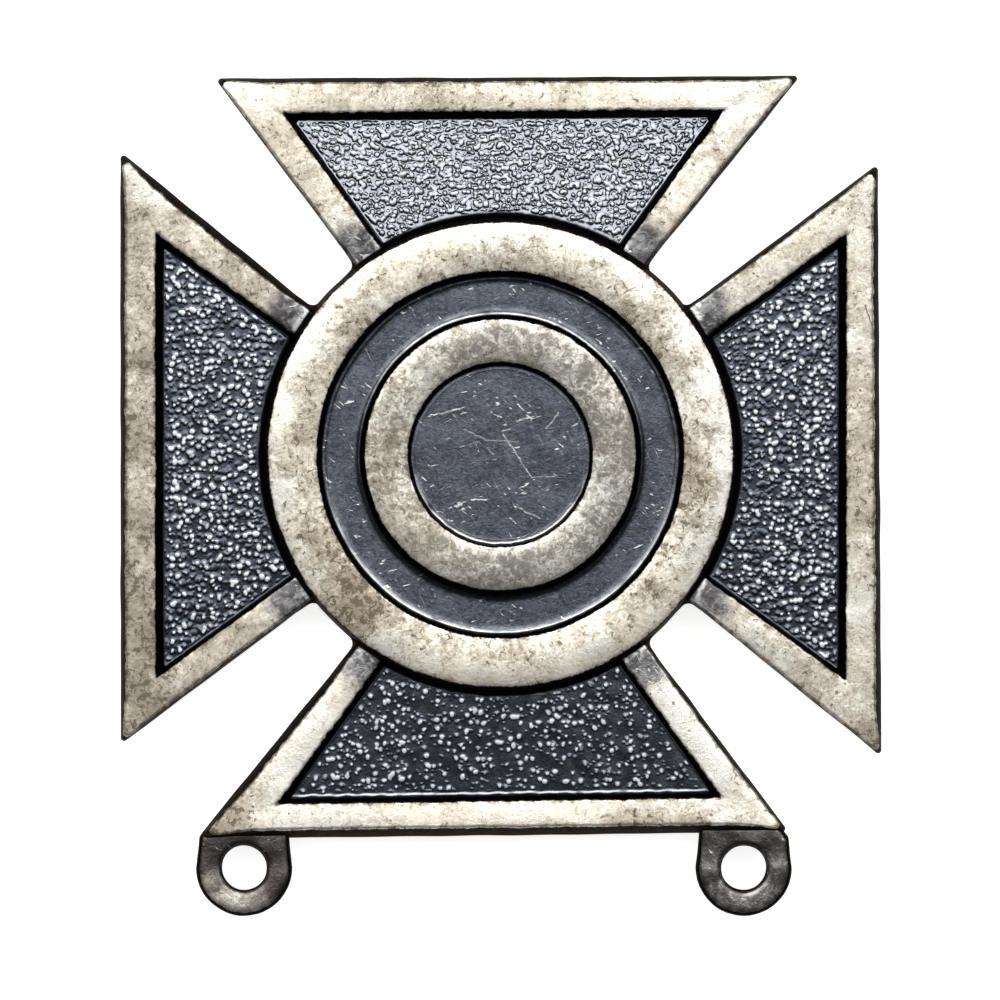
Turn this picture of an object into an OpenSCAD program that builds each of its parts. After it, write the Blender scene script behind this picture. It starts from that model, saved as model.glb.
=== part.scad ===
// Shooting proficiency pin: a die-struck cross with a stepped round target in
// the middle, two pierced hanging loops below and a brooch pin on the back.
// It lies face up. X is to the right, Y towards the top arm, Z up, in
// millimetres. The origin is under the middle of its bounding box, at z = 0,
// which is the surface that the feet of the brooch pin rest on.

/* [Cross arms] */
// Distance from the target's middle to the straight end of each arm
arm_reach = 17.5; // [16:0.1:19]
// Half the width of an arm at its end
arm_tip_half = 13.6; // [12.5:0.1:14.5]
// Half the width of an arm where it runs in under the target's rim
arm_root_half = 6.1; // [5.6:0.1:6.6]
// How far the trimmed outline sits clockwise of the struck design at the tips
trim_shift = 0.3; // [0:0.05:0.5]
// Radius of the worn outer corners, seen from above
corner_r = 0.16; // [0.08:0.02:0.4]
// Slope of the frame's outer wall, as the distance that it leans inwards
frame_lean = 0.17; // [0.05:0.01:0.3]

/* [Sunk fields] */
// Distance from the target's middle to the outer edge of a sunk field
field_reach = 15.95; // [15.5:0.05:16.2]
// Half the width of a sunk field at its outer edge
field_tip_half = 10.33; // [9.8:0.01:10.6]
// Half the width of a sunk field at its hidden inner end
field_root_half = 4.1; // [3.8:0.1:4.4]
// Slope of the wall round a field, as the distance that it leans inwards
field_lean = 0.28; // [0.1:0.01:0.4]

/* [Target] */
// Outer radius of the outer ring, at its polished top
outer_ring_out = 10.72; // [10.4:0.01:10.8]
// Inner radius of the outer ring, at its polished top
outer_ring_in = 8.45; // [8.2:0.01:8.7]
// Outer radius of the inner ring, at its polished top
inner_ring_out = 6.26; // [6:0.01:6.5]
// Inner radius of the inner ring, at its polished top
inner_ring_in = 4.25; // [4:0.01:4.5]
// How far each ring's wall leans outwards on its way down
ring_lean = 0.2; // [0.1:0.01:0.3]
// Radius of the target's rim in the gaps between the arms
rim_r = 10.93; // [10.85:0.01:11.2]

/* [Heights above the back] */
// Top of the two rings
ring_h = 1.9; // [1.7:0.05:2.3]
// Top of the raised frame round each arm
frame_h = 1.45; // [1.3:0.05:1.6]
// Sunk channel between the two rings
channel_h = 1.35; // [1.2:0.05:1.5]
// Sunk disc inside the inner ring
bull_h = 1.4; // [1.2:0.05:1.5]
// Floor of the sunk fields
field_h = 0.85; // [0.7:0.05:1]
// Upright sheared edge of the outline, under the frame's leaning wall
sheared_h = 0.7; // [0.5:0.05:0.8]

/* [Hanging loops] */
// Distance between the middles of the two loops
loop_spacing = 23.1; // [21:0.1:24]
// Distance from the target's middle line down to the middles of the loops
loop_drop = 19.12; // [18.8:0.01:19.5]
// Outer radius of a loop
loop_r = 2.22; // [2:0.01:2.4]
// Radius of the hole through a loop
loop_hole_r = 1.04; // [0.9:0.01:1.2]
// Thickness of a loop
loop_t = 0.9; // [0.7:0.05:1.1]

/* [Brooch pin] */
// Height of the back of the cross above the surface that the feet rest on
back_z = 2.7; // [2.4:0.1:3.2]
// Length of the strip that carries the pin
strip_l = 26; // [22:0.5:27]
// Width of the strip and of both feet
strip_w = 4.4; // [3.6:0.1:5]
// Thickness of the strip
strip_t = 0.45; // [0.3:0.05:0.6]
// Gap that the solder line fills, between the strip and the back
solder_gap = 0.03; // [0.02:0.01:0.05]
// Distance from the middle of the strip to the middle of each foot
foot_x = 10.6; // [9:0.1:11]
// Length of the catch foot along the pin
catch_l = 2.6; // [2:0.1:3]
// Diameter of the pin wire
wire_d = 0.8; // [0.6:0.05:0.9]

/* [Hidden] */
$fn = 96;
// Points along the arc of one rounded corner
ARC_STEPS = 6;
// Radius of the corners inside a sunk field
FIELD_CORNER_R = 0.1;
// Small overlap that joins two shapes of one solid
JOIN = 0.05;
// Distances from the target's middle to the hidden inner ends of arm and field
ARM_ROOT = 7.9;
FIELD_ROOT = 7.4;
// Space left round the wire in its catch
CATCH_PLAY = 0.12;
// Length of the wire's point, and the flat left at its very end
POINT_L = 1.6;
POINT_R = 0.08;

loop_low = -loop_drop - loop_r;
// Places the bounding box so that its middle is at y = 0
cross_y = -(arm_reach + loop_low) / 2;
foot_h = back_z - solder_gap - strip_t;
foot_r = foot_h / 2;
wire_z = foot_r;

// The outline of one arm pointing along +Y, anticlockwise from its lower left
ARM_OUTLINE = [
    [-arm_root_half, ARM_ROOT],
    [arm_root_half, ARM_ROOT],
    [arm_tip_half + trim_shift, arm_reach],
    [-arm_tip_half + trim_shift, arm_reach]
];

// The outline of one sunk field at the frame's top, in the same order
FIELD_OUTLINE = [
    [-field_root_half, FIELD_ROOT],
    [field_root_half, FIELD_ROOT],
    [field_tip_half, field_reach],
    [-field_tip_half, field_reach]
];

function unit(v) = v / norm(v);

// The corner of an outline at index i, as [towards the last point, itself, towards the next]
function corner(outline, i) =
    let (n = len(outline), p = outline[i])
    [unit(outline[(i + n - 1) % n] - p), p, unit(outline[(i + 1) % n] - p)];

// Half of the angle between the two sides that meet in a corner
function half_angle(c) = acos(c[0] * c[2]) / 2;

// The outline with every side moved inwards by d, for an outline with no hollow corner
function inset(outline, d) = [
    for (i = [0:len(outline) - 1])
        let (c = corner(outline, i))
        c[1] + unit(c[0] + c[2]) * d / sin(half_angle(c))
];

// The outline with each corner replaced by an arc of radius r that touches both sides
function rounded(outline, r) = [
    for (i = [0:len(outline) - 1])
        let (
            c = corner(outline, i),
            h = half_angle(c),
            centre = c[1] + unit(c[0] + c[2]) * r / sin(h),
            outward = atan2(c[1].y - centre.y, c[1].x - centre.x)
        )
        for (k = [0:ARC_STEPS])
            let (a = outward + (90 - h) * (2 * k / ARC_STEPS - 1))
            centre + r * [cos(a), sin(a)]
];

// A solid between two level outlines with the same number of points, anticlockwise from above
module frustum(low, low_z, high, high_z) {
    n = len(low);
    polyhedron(
        points = concat(
            [for (p = low) [p.x, p.y, low_z]],
            [for (p = high) [p.x, p.y, high_z]]
        ),
        faces = concat(
            [[for (i = [0:n - 1]) i]],
            [[for (i = [n - 1:-1:0]) n + i]],
            [for (i = [0:n - 1]) [i, n + i, n + (i + 1) % n, (i + 1) % n]]
        )
    );
}

// One arm: an upright sheared edge, a leaning frame wall and a sunk field
module arm() {
    low = rounded(ARM_OUTLINE, corner_r);
    difference() {
        union() {
            linear_extrude(height = sheared_h)
                polygon(low);
            frustum(low, sheared_h, rounded(inset(ARM_OUTLINE, frame_lean), corner_r), frame_h);
        }
        field_pocket();
    }
}

// The hollow of one sunk field, with leaning walls that run on above the frame's top
module field_pocket() {
    slope = field_lean / (frame_h - field_h);
    above = 1;
    frustum(
        rounded(inset(FIELD_OUTLINE, field_lean), FIELD_CORNER_R), field_h,
        rounded(inset(FIELD_OUTLINE, -slope * above), FIELD_CORNER_R), frame_h + above
    );
}

// The stepped round target, turned about its middle
module target() {
    rotate_extrude($fn = 180)
        polygon([
            [0, 0],
            [rim_r, 0],
            [rim_r, field_h],
            [outer_ring_out, ring_h],
            [outer_ring_in, ring_h],
            [outer_ring_in - ring_lean, channel_h],
            [inner_ring_out + ring_lean, channel_h],
            [inner_ring_out, ring_h],
            [inner_ring_in, ring_h],
            [inner_ring_in - ring_lean, bull_h],
            [0, bull_h]
        ]);
}

// One hanging loop without its hole: a tab under the bottom arm, with a round end.
// The tab starts as wide as the arm's corner allows and widens to the round end.
module loop_body(x) {
    top_half = arm_tip_half - loop_spacing / 2 - corner_r / 2;
    tab_l = loop_drop - arm_reach + JOIN;
    translate([x, -loop_drop, 0]) {
        cylinder(r = loop_r, h = loop_t);
        linear_extrude(height = loop_t)
            polygon([[-loop_r, 0], [loop_r, 0], [top_half, tab_l], [-top_half, tab_l]]);
    }
}

// The hole through one hanging loop
module loop_hole(x) {
    translate([x, -loop_drop, -JOIN])
        cylinder(r = loop_hole_r, h = loop_t + 2 * JOIN);
}

// Everything that one blow of the dies makes from one piece of metal
module struck_cross() {
    loop_xs = [-loop_spacing / 2 - trim_shift, loop_spacing / 2 - trim_shift];
    color("silver")
        translate([0, cross_y, back_z])
            difference() {
                union() {
                    for (turn = [0:90:270])
                        rotate([0, 0, turn])
                            arm();
                    target();
                    for (x = loop_xs)
                        loop_body(x);
                }
                for (x = loop_xs)
                    loop_hole(x);
            }
}

// The outline of a foot, seen along X: straight sides down from the strip to a flat with round corners
module foot_outline() {
    round_r = foot_h * 0.3;
    difference() {
        translate([-strip_w / 2, 0])
            square([strip_w, foot_h + JOIN]);
        for (side = [-1, 1])
            translate([side * (strip_w / 2 - round_r), round_r])
                difference() {
                    translate([side > 0 ? 0 : -round_r - 1, -round_r - 1])
                        square([round_r + 1, round_r + 1]);
                    circle(r = round_r);
                }
    }
}

// A foot of length l along X, centred at x
module foot(x, l) {
    translate([x - l / 2, 0, 0])
        rotate([90, 0, 90])
            linear_extrude(height = l)
                foot_outline();
}

// The brooch pin, one piece: strip, hinge foot, wire and open catch foot
module pin_back() {
    play_r = wire_d / 2 + CATCH_PLAY;
    wire_l = 2 * foot_x + catch_l / 2;
    color("gray")
        translate([0, cross_y, 0]) {
            translate([-strip_l / 2 + strip_w / 2, -strip_w / 2, foot_h])
                cube([strip_l - strip_w, strip_w, strip_t]);
            for (side = [-1, 1])
                translate([side * (strip_l / 2 - strip_w / 2), 0, foot_h])
                    cylinder(r = strip_w / 2, h = strip_t);
            foot(-foot_x, 2 * foot_r);
            difference() {
                foot(foot_x, catch_l);
                translate([foot_x - catch_l, 0, wire_z])
                    rotate([0, 90, 0])
                        cylinder(r = play_r, h = 2 * catch_l);
                translate([foot_x - catch_l, -strip_w, wire_z - play_r])
                    cube([2 * catch_l, strip_w, 2 * play_r]);
            }
            translate([-foot_x, 0, wire_z])
                rotate([0, 90, 0]) {
                    cylinder(r = wire_d / 2, h = wire_l);
                    translate([0, 0, wire_l])
                        cylinder(r1 = wire_d / 2, r2 = POINT_R, h = POINT_L);
                }
        }
}

struck_cross();
pin_back();
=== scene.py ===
"""Looks of a die-struck cross badge: antiqued silver, rubbed bright on its frames and rings.

Every new piece is worked out in millimetres, from the middle of the round target and up
from the badge's back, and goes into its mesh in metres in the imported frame.
"""
import math
import bpy
import numpy as np
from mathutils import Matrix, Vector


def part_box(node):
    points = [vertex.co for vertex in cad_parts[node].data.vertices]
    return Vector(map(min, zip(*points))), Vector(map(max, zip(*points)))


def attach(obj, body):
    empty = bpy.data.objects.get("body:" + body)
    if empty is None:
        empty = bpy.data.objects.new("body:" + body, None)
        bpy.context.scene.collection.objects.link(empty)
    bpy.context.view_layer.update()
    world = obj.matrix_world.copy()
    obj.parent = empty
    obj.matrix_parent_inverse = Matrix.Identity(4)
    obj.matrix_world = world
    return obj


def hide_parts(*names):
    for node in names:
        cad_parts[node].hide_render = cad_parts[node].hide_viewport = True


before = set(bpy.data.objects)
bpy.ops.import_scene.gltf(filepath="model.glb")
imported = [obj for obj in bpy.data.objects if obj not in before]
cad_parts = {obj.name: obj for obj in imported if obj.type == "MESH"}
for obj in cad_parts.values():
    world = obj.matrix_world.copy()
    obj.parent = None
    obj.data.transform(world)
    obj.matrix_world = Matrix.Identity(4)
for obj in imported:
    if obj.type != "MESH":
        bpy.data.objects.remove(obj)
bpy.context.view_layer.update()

MM = 0.001
LOW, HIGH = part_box("struck_cross")

# Sizes of the struck cross, in millimetres
ARM_REACH = 17.5
ARM_TIP_HALF = 13.6
ARM_ROOT_HALF = 6.1
ARM_ROOT = 7.9
TRIM_SHIFT = 0.3
CORNER_R = 0.16
FIELD_REACH = 15.95
FIELD_TIP_HALF = 10.33
FIELD_ROOT_HALF = 4.1
FIELD_ROOT = 7.4
FIELD_LEAN = 0.28
RIM_R = 10.93
OUTER_RING = (8.45, 10.72)
INNER_RING = (4.25, 6.26)
RING_LEAN = 0.2
LOOP_SPACING = 23.1
LOOP_DROP = 19.12
LOOP_R = 2.22
LOOP_HOLE_R = 1.04
LOOP_TAB_HALF = 1.97
# Heights above the back
RING_H = 1.9
FRAME_H = 1.45
CHANNEL_H = 1.35
BULL_H = 1.4
FIELD_H = 0.85
SHEARED_H = 0.7
# Undersides that the back plate hides
HIDDEN_H = 0.05

# The middle of the target, on the plane of the badge's back
CENTRE = np.array([0.0, HIGH.y / MM - ARM_REACH, LOW.z / MM])


# Camera

# Millimetres across the picture, the place in its middle and the camera's distance
PHOTO_WIDTH = 46.1
PHOTO_MIDDLE = (-0.02, -0.17)
CAMERA_DISTANCE = 400.0
CAMERA_TILT = math.radians(1.2)
SENSOR = 36.0


def add_object(name, data):
    thing = bpy.data.objects.new(name, data)
    bpy.context.scene.collection.objects.link(thing)
    return thing


def add_camera():
    """Looks straight down from a little towards the top arm, which points up in the picture."""
    data = bpy.data.cameras.new("camera")
    data.sensor_width = SENSOR
    data.lens = SENSOR * CAMERA_DISTANCE / PHOTO_WIDTH
    data.clip_start = 0.01
    data.clip_end = 10.0
    camera = add_object("camera", data)
    aim_z = CENTRE[2] + FRAME_H
    camera.location = (
        PHOTO_MIDDLE[0] * MM,
        (PHOTO_MIDDLE[1] + CAMERA_DISTANCE * math.sin(CAMERA_TILT)) * MM,
        (aim_z + CAMERA_DISTANCE * math.cos(CAMERA_TILT)) * MM,
    )
    camera.rotation_euler = (-CAMERA_TILT, 0, 0)
    bpy.context.scene.camera = camera


add_camera()


# Working out shapes

# How far the target and the frames wander sideways
WANDER = 0.012


def unit(vector):
    return vector / np.linalg.norm(vector)


def turned(x, y, degrees):
    """Places turned anticlockwise about the middle of the target."""
    c, s = math.cos(math.radians(degrees)), math.sin(math.radians(degrees))
    return x * c - y * s, x * s + y * c


def rounded_line(corners, steps):
    """The line through rows of (x, y, radius): each corner with a radius gives way to the arc
    of that radius which touches both of its sides."""
    place = np.array([c[:2] for c in corners], float)
    out = []
    for i, (_, _, radius) in enumerate(corners):
        if radius == 0:
            out.append(place[i:i + 1])
            continue
        back = unit(place[i - 1] - place[i])
        on = unit(place[i + 1] - place[i])
        half = math.acos(float(np.clip(back @ on, -1, 1))) / 2
        middle = place[i] + unit(back + on) * radius / math.sin(half)
        first = place[i] + back * radius / math.tan(half) - middle
        last = place[i] + on * radius / math.tan(half) - middle
        sweep = math.pi - 2 * half
        t = np.linspace(0, 1, steps + 1)[:, None]
        out.append(middle + (np.sin((1 - t) * sweep) * first + np.sin(t * sweep) * last) / math.sin(sweep))
    return np.concatenate(out)


def spread(line, step):
    """The same line with points added, so that no two neighbours are further apart than step."""
    out = [line[:1]]
    for a, b in zip(line[:-1], line[1:]):
        parts = max(1, math.ceil(np.linalg.norm(b - a) / step))
        out.append(a + (b - a) * (np.arange(1, parts + 1) / parts)[:, None])
    return np.concatenate(out)


def ripple(x, y, wavelength, seed, waves=11):
    """Smooth random numbers of about -1 to 1: the sum of plane sine waves of about that
    wavelength, each in its own random direction and phase."""
    draw = np.random.default_rng(seed)
    turn = draw.uniform(0, 2 * math.pi, waves)
    pace = 2 * math.pi / (wavelength * draw.uniform(0.6, 1.6, waves))
    phase = draw.uniform(0, 2 * math.pi, waves)
    along = x[..., None] * np.cos(turn) + y[..., None] * np.sin(turn)
    return np.sin(along * pace + phase).sum(-1) / math.sqrt(waves)


def bell(distance, reach):
    """1 at no distance, falling to nearly 0 at twice the reach."""
    return np.exp(-(distance / reach) ** 2)


def wandered(x, y, z, amount, seed):
    """The places as rows, moved sideways by a slow ripple and by a quick one of that amount."""
    x2 = x + amount * ripple(x, y, 0.7, seed) + WANDER * ripple(x, y, 3.0, seed + 1)
    y2 = y + amount * ripple(x, y, 0.7, seed + 2) + WANDER * ripple(x, y, 3.0, seed + 3)
    return np.stack([x2, y2, z], -1).reshape(-1, 3)


def grid_quads(rows, columns, close_rows=False, close_columns=False):
    """Quads between neighbouring points of a grid whose points are numbered row by row."""
    i = np.arange(rows if close_rows else rows - 1)[:, None]
    j = np.arange(columns if close_columns else columns - 1)[None, :]
    below, right = (i + 1) % rows, (j + 1) % columns
    corners = [i * columns + j, below * columns + j, below * columns + right, i * columns + right]
    return np.stack([np.broadcast_to(c, (i.size, j.size)) for c in corners], -1).reshape(-1, 4)


def swell(points, quads, caps):
    """Six times the volume inside the faces, counted from their middle; negative if they face inwards."""
    p = points - points.mean(0)
    a, b, c, d = (p[quads[:, k]] for k in range(4))
    total = (np.cross(a, b) * c).sum() + (np.cross(a, c) * d).sum()
    for cap in caps:
        first, second, third = p[cap[0]], p[cap[1:-1]], p[cap[2:]]
        total += (np.cross(second, third) @ first).sum()
    return total


def add_piece(name, points, quads, material, numbers=None, caps=(), crease=None):
    """A closed mesh that stands for the struck cross, turned the right way out. numbers are kept
    as attributes, each one value for all points or one for each; caps are many-sided faces;
    edges sharper than crease (degrees) aren't smoothed."""
    caps = [np.asarray(cap) for cap in caps]
    if swell(points, quads, caps) < 0:
        quads = quads[:, ::-1]
        caps = [cap[::-1] for cap in caps]
    mesh = bpy.data.meshes.new(name)
    corners = np.concatenate([quads.ravel(), *caps]).astype(np.int32)
    counts = np.concatenate([np.full(len(quads), 4), [len(cap) for cap in caps]]).astype(np.int32)
    mesh.vertices.add(len(points))
    mesh.vertices.foreach_set("co", ((points + CENTRE) * MM).astype(np.float32).ravel())
    mesh.loops.add(len(corners))
    mesh.loops.foreach_set("vertex_index", corners)
    mesh.polygons.add(len(counts))
    mesh.polygons.foreach_set("loop_start", (np.cumsum(counts) - counts).astype(np.int32))
    mesh.polygons.foreach_set("use_smooth", np.ones(len(counts), bool))
    mesh.update(calc_edges=True)
    for key, values in (numbers or {}).items():
        data = mesh.attributes.new(key, "FLOAT", "POINT").data
        data.foreach_set("value", np.full(len(points), np.ravel(values), np.float32))
    if crease is not None:
        mesh.set_sharp_from_angle(angle=math.radians(crease))
    mesh.materials.append(material)
    piece = add_object(name, mesh)
    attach(piece, "root")
    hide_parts("struck_cross")


# Finishes

def tone(*screen):
    """A colour given as seen on a screen, 0 to 255, as linear light."""
    parts = (value / 255 for value in screen)
    return (*(((v + 0.055) / 1.055) ** 2.4 if v > 0.04 else v / 12.92 for v in parts), 1.0)


class Nodes:
    """Short ways to add nodes to a tree."""

    def __init__(self, tree):
        self.tree = tree

    def put(self, value, socket):
        """Gives a socket a value or links another node's output to it."""
        if isinstance(value, bpy.types.NodeSocket):
            self.tree.links.new(value, socket)
        else:
            socket.default_value = value

    def node(self, kind, **inputs):
        """A new node, with a value or another node's output put into each input named."""
        node = self.tree.nodes.new("ShaderNode" + kind)
        for name, value in inputs.items():
            self.put(value, node.inputs[name])
        return node

    def step(self, value, low, high, out_low=0.0, out_high=1.0):
        """Goes smoothly from out_low at low to out_high at high."""
        limits = {"From Min": low, "From Max": high, "To Min": out_low, "To Max": out_high}
        node = self.node("MapRange", Value=value, **limits)
        node.interpolation_type = "SMOOTHSTEP"
        return node.outputs["Result"]


class Finish(Nodes):
    """A material, with patterns that use object coordinates counted in millimetres from the
    middle of the target."""

    def __init__(self, name):
        self.material = bpy.data.materials.new(name)
        self.material.use_nodes = True
        super().__init__(self.material.node_tree)
        self.shader = self.tree.nodes["Principled BSDF"]
        where = self.node("TexCoord").outputs["Object"]
        self.place = self.mapping(where, Scale=(1 / MM, 1 / MM, 1 / MM), Location=tuple(-CENTRE))

    def mapping(self, place, **inputs):
        return self.node("Mapping", Vector=place, **inputs).outputs["Vector"]

    def math(self, how, a, b=0.0, c=0.0, clamp=False):
        node = self.node("Math")
        node.operation = how
        node.use_clamp = clamp
        for value, socket in zip((a, b, c), node.inputs):
            self.put(value, socket)
        return node.outputs[0]

    def times(self, a, b, clamp=False):
        return self.math("MULTIPLY", a, b, clamp=clamp)

    def larger(self, a, b, clamp=False):
        return self.math("MAXIMUM", a, b, clamp=clamp)

    def vector(self, how, a, b, answer="Vector"):
        node = self.node("VectorMath")
        node.operation = how
        self.put(a, node.inputs[0])
        self.put(b, node.inputs["Scale"] if how == "SCALE" else node.inputs[1])
        return node.outputs[answer]

    def sway(self, start, *parts):
        """start, plus how far each pattern is from its middle value, 0.5, times its weight."""
        total = start
        for pattern, weight in parts:
            total = self.math("ADD", total, self.math("MULTIPLY_ADD", pattern, weight, -0.5 * weight))
        return total

    def between(self, factor, a, b):
        """A number that goes from a to b as factor goes from 0 to 1."""
        node = self.node("Mix")
        for k, value in ((0, factor), (2, a), (3, b)):
            self.put(value, node.inputs[k])
        return node.outputs[0]

    def mix(self, factor, a, b):
        """A colour that goes from a to b as factor goes from 0 to 1."""
        node = self.node("Mix")
        node.data_type = "RGBA"
        for k, value in ((0, factor), (6, a), (7, b)):
            self.put(value, node.inputs[k])
        return node.outputs[2]

    def attribute(self, name):
        node = self.node("Attribute")
        node.attribute_name = name
        return node.outputs["Fac"]

    def moved(self, turn=0.0, stretch=(1, 1, 1), shift=(0, 0, 0)):
        """Object coordinates turned about the upright axis and shifted, and then stretched."""
        place = self.mapping(self.place, Location=shift, Rotation=(0, 0, math.radians(turn)))
        return self.mapping(place, Scale=stretch)

    def noise(self, size, detail=2.0, rough=0.5, twist=0.0, place=None, answer="Fac"):
        """Cloudy noise, 0 to 1, whose largest forms are about size millimetres."""
        place = self.place if place is None else place
        node = self.node("TexNoise", Vector=place, Scale=1 / size, Detail=detail, Roughness=rough,
                         Distortion=twist)
        return node.outputs[answer]

    def specks(self, size, share, radius, ragged):
        """1 on small round specks: scattered points about size millimetres apart, of which only a
        share counts, each out to its own radius of at most so many millimetres."""
        node = self.node("TexVoronoi", Vector=self.moved(31), Scale=1 / size)
        pick = self.node("SeparateColor", Color=node.outputs["Color"])
        out_to = self.math("MULTIPLY_ADD", pick.outputs["Green"], 0.7 * radius, 0.3 * radius)
        inside = self.math("SUBTRACT", out_to, self.times(node.outputs["Distance"], size))
        inside = self.sway(inside, (ragged, 0.12))
        chosen = self.math("LESS_THAN", pick.outputs["Red"], share)
        return self.times(self.step(inside, 0.0, 0.03), chosen)

    def strokes(self, turn, length, width, twist=0.15):
        """Noise drawn out one way, so that its crests are short strokes."""
        return self.noise(1.0, 1.0, 0.4, twist, self.moved(turn, (1 / length, 1 / width, 1), (turn, 3.1, 0)))

    def lines(self, rows, width, shake):
        """The strength of each row, its last value, on the line between the row's two places seen
        from above, and 0 beside it. Noise shakes a line by that many millimetres."""
        wobble = self.vector("SCALE", self.noise(0.4, 2.0, 0.6, answer="Color"), 2 * shake)
        flat = self.vector("MULTIPLY", self.vector("ADD", self.place, wobble), (1, 1, 0))
        total = 0.0
        for x1, y1, x2, y2, strength in rows:
            length = math.hypot(x2 - x1, y2 - y1)
            way = ((x2 - x1) / length, (y2 - y1) / length, 0)
            start = self.vector("SUBTRACT", flat, (x1 + shake, y1 + shake, 0))
            along = self.math("MINIMUM", self.vector("DOT_PRODUCT", start, way, "Value"), length)
            near = self.vector("SCALE", way, self.larger(along, 0.0))
            off = self.vector("DISTANCE", start, near, "Value")
            total = self.larger(total, self.step(off, width, 0.3 * width, 0.0, strength))
        return total

    def metal(self, colour, rough, height, depth, tint=1.0):
        """Metal, with a bump whose height of 0 to 1 is depth millimetres. A tint below 1 keeps
        places that are seen from the side from turning white."""
        bump = self.node("Bump", Strength=1.0, Distance=depth * MM, Height=height)
        for name, value in (("Base Color", colour), ("Roughness", rough), ("Normal", bump.outputs["Normal"]),
                            ("Metallic", 1.0), ("Specular Tint", (tint, tint, tint, 1))):
            self.put(value, self.shader.inputs[name])
        return self.material


SILVER = tone(211, 209, 201)
SILVER_WARM = tone(206, 199, 182)
TAUPE = tone(150, 140, 123)
GREY = tone(112, 109, 103)
PINK = tone(176, 156, 146)
UMBER = tone(88, 77, 64)
SLATE = tone(77, 80, 87)
SLATE_DARK = tone(54, 57, 64)
SLATE_BROWN = tone(76, 69, 64)
SMEAR = tone(136, 136, 135)
# Pale chips, hair lines and scratches on the slate, and the painted highlight on lips and at the feet of
# walls
PALE_MARK_AND_GLINT = tone(200, 200, 198)
# Tones of the pebbled floor: how pale a field's floor is painted stands for the lamp's reflection
PEBBLE_FLOOR = tone(116, 119, 124)
PEBBLE_FLOOR_DARK = tone(56, 60, 68)
# Pebble tops, paler partly from rubbing and partly as painted highlight; dim where the floor is pale
PEBBLE_TOP = tone(192, 195, 199)
PEBBLE_TOP_DIM = tone(164, 168, 174)
BLACK = tone(8, 9, 12)
SIDE_DARK = tone(26, 22, 20)
SIDE_BROWN = tone(48, 38, 32)
# Specular tint of the struck metal
EDGE_TINT = 0.5

# Cracks in the rubbed tops and scratches on the disc: the two ends of each, as x and y from
# the middle of the target, and how strongly each shows
CRACKS = (
    (5.56, 8.03, 5.85, 7.59, 0.7),
    (5.85, 7.59, 5.65, 7.45, 0.7),
    (5.65, 7.45, 6.19, 7.69, 0.7),
    (6.05, 6.62, 6.44, 6.86, 0.5),
    (6.44, 6.86, 6.67, 6.72, 0.5),
    (16.81, 6.90, 17.13, 5.97, 1.0),
    (16.20, -4.00, 16.62, -4.35, 0.6),
)
SCRATCHES = (
    (0.10, 0.96, 1.44, -1.04, 0.50),
    (0.04, 1.08, 0.47, 1.15, 0.45),
    (1.44, -1.04, 2.65, -0.98, 0.30),
    (-3.23, 1.81, -1.65, 2.18, 0.55),
    (0.71, 1.57, 1.56, 1.75, 0.60),
    (0.59, -2.31, 1.80, -2.92, 0.45),
    (-1.65, 1.15, -0.63, 0.66, 0.28),
    (-0.63, 0.66, 0.83, 0.60, 0.28),
    (-1.84, 0.36, -0.99, 0.60, 0.22),
    (-0.99, 0.60, -0.32, 0.00, 0.22),
    (2.10, 1.21, 2.71, 1.94, 0.45),
    (-1.36, -2.07, -0.63, -2.07, 0.90),
)


def rubbed_silver(f, rub):
    """Colour, height and roughness of the rubbed tops: silver with duller clouds and curls,
    thin curly veins, short creases, brown flakes, grime by the edges, cracks and ragged specks.
    The numbers stain, dull and crinkled make a place browner, greyer and less even."""
    clouds = f.noise(1.9, 3.0, 0.55, 0.4)
    mottle = f.noise(0.55, 3.0, 0.6, 0.9, f.moved(shift=(7, 2, 0)))
    curls = f.noise(0.26, 3.0, 0.7, 1.3)
    smooth = f.noise(0.75, 1.0, 0.5, 1.6, f.moved(shift=(3, 1, 0)))
    veins = f.step(f.math("ABSOLUTE", f.math("SUBTRACT", smooth, 0.5)), 0.016, 0.0032)
    creases = 0.0
    for turn in (10, 55, 100, 150):
        creases = f.larger(creases, f.strokes(turn, 0.50, 0.085, 1.2))
    fine = f.larger(veins, f.step(creases, 0.66, 0.74))
    patchy = f.noise(1.1, 2.0, 0.6, 0.5, f.moved(shift=(11, 4, 0)))
    fine = f.times(fine, f.step(patchy, 0.44, 0.60))
    edge = f.times(f.step(rub, 0.26, 0.02), f.step(mottle, 0.42, 0.62))
    texture = f.sway(0.0, (clouds, 1.2), (mottle, 1.1), (curls, 1.6))
    dirt = f.math("MULTIPLY_ADD", texture, f.attribute("crinkled"), f.attribute("stain"))
    dirt = f.math("MULTIPLY_ADD", edge, 0.45, dirt)
    warm = f.math("MULTIPLY_ADD", dirt, 0.4, f.noise(3.5, 3.0, 0.5, 0, f.moved(shift=(5, 8, 0))))
    colour = f.mix(f.step(warm, 0.45, 0.75), SILVER, SILVER_WARM)
    colour = f.mix(f.step(dirt, 0.0, 0.85), colour, TAUPE)
    colour = f.mix(f.times(edge, 0.4), colour, PINK)
    flakes = f.sway(dirt, (f.noise(0.38, 4.0, 0.7, 0.8, f.moved(shift=(2, 9, 0))), 4.5))
    colour = f.mix(f.step(flakes, 0.88, 0.96, 0.0, 0.80), colour, UMBER)
    grey = f.sway(1.0, (clouds, 1.2), (mottle, 1.7), (curls, 2.4))
    colour = f.mix(f.times(f.attribute("dull"), grey, clamp=True), colour, GREY)
    lined = f.times(fine, f.step(dirt, -0.3, 0.6, 0.20, 0.55))
    speck = f.times(f.specks(0.7, 0.25, 0.11, mottle), 0.75)
    dark = f.larger(f.larger(speck, lined), f.lines(CRACKS, 0.045, 0.09))
    colour = f.mix(dark, colour, UMBER)
    rough = f.sway(f.step(dirt, 0.0, 0.8, 0.38, 0.50), (mottle, 0.12))
    return colour, curls, rough


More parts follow.
